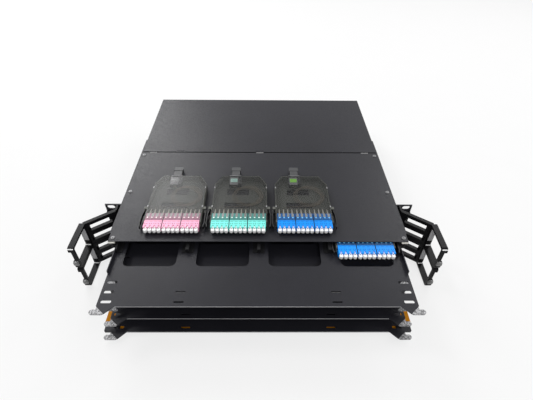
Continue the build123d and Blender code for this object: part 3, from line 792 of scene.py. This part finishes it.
class DRAWER_OT_fibres(bpy.types.Operator):
    """Make the inner connectors and the fibre loops under the lids"""

    bl_idname = "drawer.fibres"
    bl_label = "Inner connectors and fibres"

    boot_height = 5.7

    def connectors(self, mesh):
        """Twelve boots behind the adapters, each a straight part and a tapered one."""
        collar, tip = 1.2, 0.6
        for x in port_places():
            add_bar(mesh, 1.6, 1.6, 4.0, (x, 34.0, self.boot_height), along="Y", sides=12)
            add_bar(mesh, collar, tip, 9.0, (x, 38.0, self.boot_height), along="Y", sides=12)

    def loop_points(self, index, x):
        """Control points of one fibre: from its boot, round the loop, to the rear adapter."""
        middle_x, middle_y = 12, 81
        radius = 25.5 - 1.1 * (index % 6)
        height = 2.4 + 0.55 * (index // 2)
        points = [(x, 46.8, self.boot_height), (x + 0.6, 51.0, 5.4), (x * 0.75 + 4.0, 56.0, height + 0.6)]
        for turn in range(-60, 390, 30):
            swing = math.radians(turn)
            sag = 1.0 + 0.02 * math.sin(2.1 * swing + index)
            across = middle_x + radius * sag * math.cos(swing)
            along = middle_y + radius * sag * math.sin(swing)
            points.append((across, along, height))
        points += [(18.0, 100.0, height), (0.0, 98.0, 5.0), (-9.0, 98.8, 5.2)]
        points.append((-11.5 + 0.5 * (index - 5.5), 102.6, 5.2))
        return points

    def fibres(self, name, sizes, place):
        """The fibres of one module as one mesh."""
        curve = bpy.data.curves.new(name, "CURVE")
        curve.dimensions = "3D"
        curve.bevel_depth = sizes.fibre_radius
        curve.bevel_resolution = 1
        curve.resolution_u = 4
        for index, x in enumerate(port_places()):
            points = self.loop_points(index, x)
            spline = curve.splines.new("NURBS")
            spline.points.add(len(points) - 1)
            for point, spot in zip(spline.points, points):
                point.co = (*(Vector(spot) * MM + place), 1.0)
            spline.order_u = 3
            spline.use_endpoint_u = True
        holder = bpy.data.objects.new(name, curve)
        data = bpy.data.meshes.new_from_object(holder)
        bpy.data.objects.remove(holder)
        bpy.data.curves.remove(curve)
        return data

    def execute(self, context):
        finishes = context.scene.drawer_finishes
        sizes = context.scene.drawer_sizes
        brass = grained("inner_connector", finishes.brass, roughness=0.4, grain=400.0, relief=0.00003)
        strands = grained("coated_fibre", finishes.fibre, roughness=0.4, grain=300.0, relief=0.00002)
        for module in MODULES:
            body = f"{module}_module"
            mesh = bmesh.new()
            self.connectors(mesh)
            place = module_place(module)
            piece = place_piece(mesh, f"{module}_connectors", body, "inner_fibre", brass, place)
            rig.replaces(piece, f"{body}_pigtails")
            data = self.fibres(f"{module}_fibres", sizes, place)
            data.materials.append(strands)
            for face in data.polygons:
                face.use_smooth = True
            loops = bpy.data.objects.new(f"{module}_fibres", data)
            context.scene.collection.objects.link(loops)
            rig.ride(loops, body)
            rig.slot(loops, "inner_fibre")
        return {"FINISHED"}


class DRAWER_OT_adapter_details(bpy.types.Operator):
    """Make the dots, clips, notches painted dark with shade, and seams of the modules, and the parts over each rear
    adapter
    """

    bl_idname = "drawer.adapter_details"
    bl_label = "Adapter details"

    mark_heights = (ADAPTER_TOP, 10.28)

    def dots(self):
        """A round dot over each port, on the lid."""
        mesh = bmesh.new()
        for x in port_places():
            add_bar(mesh, 1.15, 1.05, 0.09, (x, 24.0, LID_TOP))
        return mesh

    def boot_clips(self):
        """A pale clip behind each port, seen through the lid."""
        mesh = bmesh.new()
        for x in port_places():
            add_slab(mesh, x, 1.7, (27.0, 33.6), self.mark_heights)
        return mesh

    def shaded_notches(self):
        """A dash and two small notches on the adapter at each port, in a dark tone that is painted shade in these
        recesses.
        """
        mesh = bmesh.new()
        for x in port_places():
            add_slab(mesh, x, 2.2, (16.9, 17.4), self.mark_heights)
            for side in (-1.35, 1.35):
                add_slab(mesh, x + side, 0.55, (12.0, 13.5), self.mark_heights)
        return mesh

    def gaps(self):
        """The dark seams between the three adapters."""
        mesh = bmesh.new()
        for x in (-ADAPTER_PITCH / 2, ADAPTER_PITCH / 2):
            add_slab(mesh, x, 0.6, (5.7, 33.8), (ADAPTER_TOP, 10.29))
        return mesh

    def rear_trim(self):
        """The pale frame and the rim of the rear adapter."""
        mesh = bmesh.new()
        made = add_box(mesh, (-18.0, 101.0, 9.2), (-5.0, 119.5, 9.6))
        made += add_box(mesh, (-18.6, 122.05, 7.0), (-0.4, 122.7, 11.2))
        round_edges(mesh, edges_of(made), 0.12)
        return mesh

    def inner_block(self):
        """The coloured block in the rear adapter."""
        mesh = bmesh.new()
        made = add_box(mesh, (-17.0, 107.0, 9.6), (-6.0, 115.5, ADAPTER_TOP))
        round_edges(mesh, edges_of(made), 0.2)
        return mesh

    def lid_clips(self):
        """Four small clips at the lid's sides."""
        mesh = bmesh.new()
        for y in (48.0, 91.5):
            for x in (-41.2, 41.2):
                add_slab(mesh, x, 0.8, (y - 1.6, y + 1.6), (LID_TOP, 11.8))
        return mesh

    def execute(self, context):
        finishes = context.scene.drawer_finishes
        dots = {"pink": (1.0, 0.80, 0.84), "aqua": (0.80, 1.0, 0.94), "blue": (0.20, 0.62, 1.0)}
        blocks = {"pink": (0.34, 0.34, 0.34), "aqua": (0.60, 0.98, 0.86), "blue": (0.36, 0.95, 0.10)}
        clip = grained("lid_clip", (0.30, 0.30, 0.31), roughness=0.35, grain=500.0, relief=FINE)
        boot = grained("boot_clip", (0.80, 0.82, 0.78), roughness=0.4, grain=500.0, relief=FINE, mottle=0.3)
        seam = grained(
            "adapter_seam", finishes.comb, roughness=0.6, grain=500.0, relief=FINE, Specular_IOR_Level=0.1
        )
        trim = grained("rear_trim", (0.26, 0.26, 0.27), roughness=0.4, grain=500.0, relief=FINE)
        for module in MODULES:
            colour = module_colour(module)
            # A fifth of the adapter's colour: painted shade in the notches and dash.
            dark = [c * 0.2 for c in getattr(finishes, colour)]
            dot = grained(
                f"{module}_dot", dots[colour], roughness=0.3, grain=500.0, relief=FINE, mottle=0.03
            )
            notch_shade = grained(
                f"{module}_mark", dark, roughness=0.5, grain=500.0, relief=FINE, Specular_IOR_Level=0.2
            )
            block = grained(
                f"{module}_inner_block", blocks[colour], roughness=0.4, grain=400.0, relief=0.00002
            )
            pieces = (
                ("dots", self.dots(), "white_plastic", dot),
                ("boot_clips", self.boot_clips(), "white_plastic", boot),
                ("shaded_notches", self.shaded_notches(), f"{colour}_plastic", notch_shade),
                ("gaps", self.gaps(), "black_plastic", seam),
                ("rear_trim", self.rear_trim(), "smoky_plastic", trim),
                ("inner_block", self.inner_block(), f"{colour}_plastic", block),
                ("lid_clips", self.lid_clips(), "smoked_clear", clip),
            )
            place = module_place(module)
            for name, mesh, finish, material in pieces:
                place_piece(mesh, f"{module}_{name}", f"{module}_module", finish, material, place)
        return {"FINISHED"}


class DRAWER_OT_studio(bpy.types.Operator):
    """Set up the floor, the soft light and the camera"""

    bl_idname = "drawer.studio"
    bl_label = "Studio"

    def floor(self, context, studio):
        """A wide floor just under the drawer, which is no part of it."""
        half_width = 8.0
        drop = 0.0002
        mesh = bmesh.new()
        bmesh.ops.create_grid(mesh, x_segments=1, y_segments=1, size=half_width)
        bmesh.ops.translate(mesh, vec=(0, 0, -drop), verts=mesh.verts)
        data = bpy.data.meshes.new("floor")
        mesh.to_mesh(data)
        mesh.free()
        floor = bpy.data.objects.new("floor", data)
        context.scene.collection.objects.link(floor)
        data.materials.append(pale_floor("pale_floor", studio.floor, studio.backdrop))
        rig.stage(floor)

    def lamp(self, context, name, place, target, size, power):
        """A square white lamp that faces a target."""
        data = bpy.data.lights.new(name, "AREA")
        data.size = size
        data.energy = power
        lamp = bpy.data.objects.new(name, data)
        context.scene.collection.objects.link(lamp)
        lamp.location = place
        lamp.rotation_euler = (Vector(target) - Vector(place)).to_track_quat("-Z", "Y").to_euler()

    def camera(self, context, studio):
        """The camera, as the photograph was taken."""
        right = Vector((math.cos(studio.yaw), -math.sin(studio.yaw), 0))
        forward = Vector((
            math.sin(studio.yaw) * math.cos(studio.pitch),
            math.cos(studio.yaw) * math.cos(studio.pitch),
            -math.sin(studio.pitch),
        ))
        up = right.cross(forward)
        across = math.cos(studio.roll) * right + math.sin(studio.roll) * up
        upwards = math.cos(studio.roll) * up - math.sin(studio.roll) * right
        data = bpy.data.cameras.new("camera")
        data.sensor_fit = "HORIZONTAL"
        data.sensor_width = 36.0
        data.lens = studio.lens
        data.clip_start = 0.01
        camera = bpy.data.objects.new("camera", data)
        context.scene.collection.objects.link(camera)
        turn = Matrix((across, upwards, -forward)).transposed()
        camera.matrix_world = Matrix.Translation(studio.place) @ turn.to_4x4()
        context.scene.camera = camera

    def world(self, context, studio):
        """Even light from all round, and plain white where the camera sees past the floor."""
        world = bpy.data.worlds.new("studio_sky")
        world.use_nodes = True
        nodes = world.node_tree.nodes
        links = world.node_tree.links
        light = nodes["Background"]
        light.inputs["Color"].default_value = (1.0, 1.0, 1.0, 1.0)
        light.inputs["Strength"].default_value = studio.sky
        seen = nodes.new("ShaderNodeBackground")
        seen.inputs["Color"].default_value = (*studio.floor, 1.0)
        seen.inputs["Strength"].default_value = 1.0
        blend = nodes.new("ShaderNodeMixShader")
        links.new(white_seen(nodes, links, 1.0), blend.inputs["Fac"])
        links.new(light.outputs["Background"], blend.inputs[1])
        links.new(seen.outputs["Background"], blend.inputs[2])
        links.new(blend.outputs["Shader"], nodes["World Output"].inputs["Surface"])
        context.scene.world = world
        context.scene.view_settings.view_transform = "Standard"

    def execute(self, context):
        studio = context.scene.drawer_studio
        self.floor(context, studio)
        self.world(context, studio)
        self.lamp(context, "rear_lamp", (-1.0, 1.6, 1.3), (-0.1, 0.1, 0.05), 1.1, studio.rear)
        self.lamp(context, "left_lamp", (-1.0, 0.3, 1.6), (0, 0, 0.05), 0.4, studio.left)
        self.lamp(context, "right_lamp", (1.7, 0.1, 1.2), (0, 0, 0.05), 1.4, studio.right)
        self.lamp(context, "far_lamp", (1.15, 1.3, 1.4), (0.1, 0, 0.05), 0.8, studio.far)
        self.lamp(context, "front_lamp", (0.1, -1.5, 1.7), (0, 0, 0.05), 0.8, studio.front)
        self.camera(context, studio)
        return {"FINISHED"}


class DRAWER_PT_panel(bpy.types.Panel):
    """Lists the drawer's pieces and settings."""

    bl_idname = "DRAWER_PT_panel"
    bl_label = "Patch drawer"
    bl_space_type = "VIEW_3D"
    bl_region_type = "UI"
    bl_category = "Patch drawer"

    def draw(self, context):
        for operator in OPERATORS:
            self.layout.operator(operator.bl_idname)
        for group in (context.scene.drawer_finishes, context.scene.drawer_sizes, context.scene.drawer_studio):
            box = self.layout.box()
            for name in group.__annotations__:
                box.prop(group, name)


GROUPS = (DrawerFinishes, DrawerSizes, DrawerStudio)
OPERATORS = (
    DRAWER_OT_housing,
    DRAWER_OT_mouldings,
    DRAWER_OT_comb_details,
    DRAWER_OT_screws,
    DRAWER_OT_modules,
    DRAWER_OT_caps,
    DRAWER_OT_fibres,
    DRAWER_OT_adapter_details,
    DRAWER_OT_studio,
)


def register():
    """Adds the groups, the operators and the panel."""
    for item in GROUPS + OPERATORS + (DRAWER_PT_panel,):
        bpy.utils.register_class(item)
    bpy.types.Scene.drawer_finishes = PointerProperty(type=DrawerFinishes)
    bpy.types.Scene.drawer_sizes = PointerProperty(type=DrawerSizes)
    bpy.types.Scene.drawer_studio = PointerProperty(type=DrawerStudio)


def unregister():
    """Takes away what register() added."""
    del bpy.types.Scene.drawer_studio
    del bpy.types.Scene.drawer_sizes
    del bpy.types.Scene.drawer_finishes
    for item in reversed(GROUPS + OPERATORS + (DRAWER_PT_panel,)):
        bpy.utils.unregister_class(item)


def plain(box):
    """The corners of a box as plain lists."""
    return [[float(value) for value in corner] for corner in box]


def main():
    """Makes every piece and notes the size before and after."""
    cad = plain(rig.bounds())
    register()
    bpy.ops.drawer.housing()
    bpy.ops.drawer.mouldings()
    bpy.ops.drawer.comb_details()
    bpy.ops.drawer.screws()
    bpy.ops.drawer.modules()
    bpy.ops.drawer.caps()
    bpy.ops.drawer.fibres()
    bpy.ops.drawer.adapter_details()
    bpy.ops.drawer.studio()
    with open("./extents.json", "w") as out:
        json.dump({"cad": cad, "visual": plain(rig.bounds())}, out)


if __name__ == "__main__":
    main()
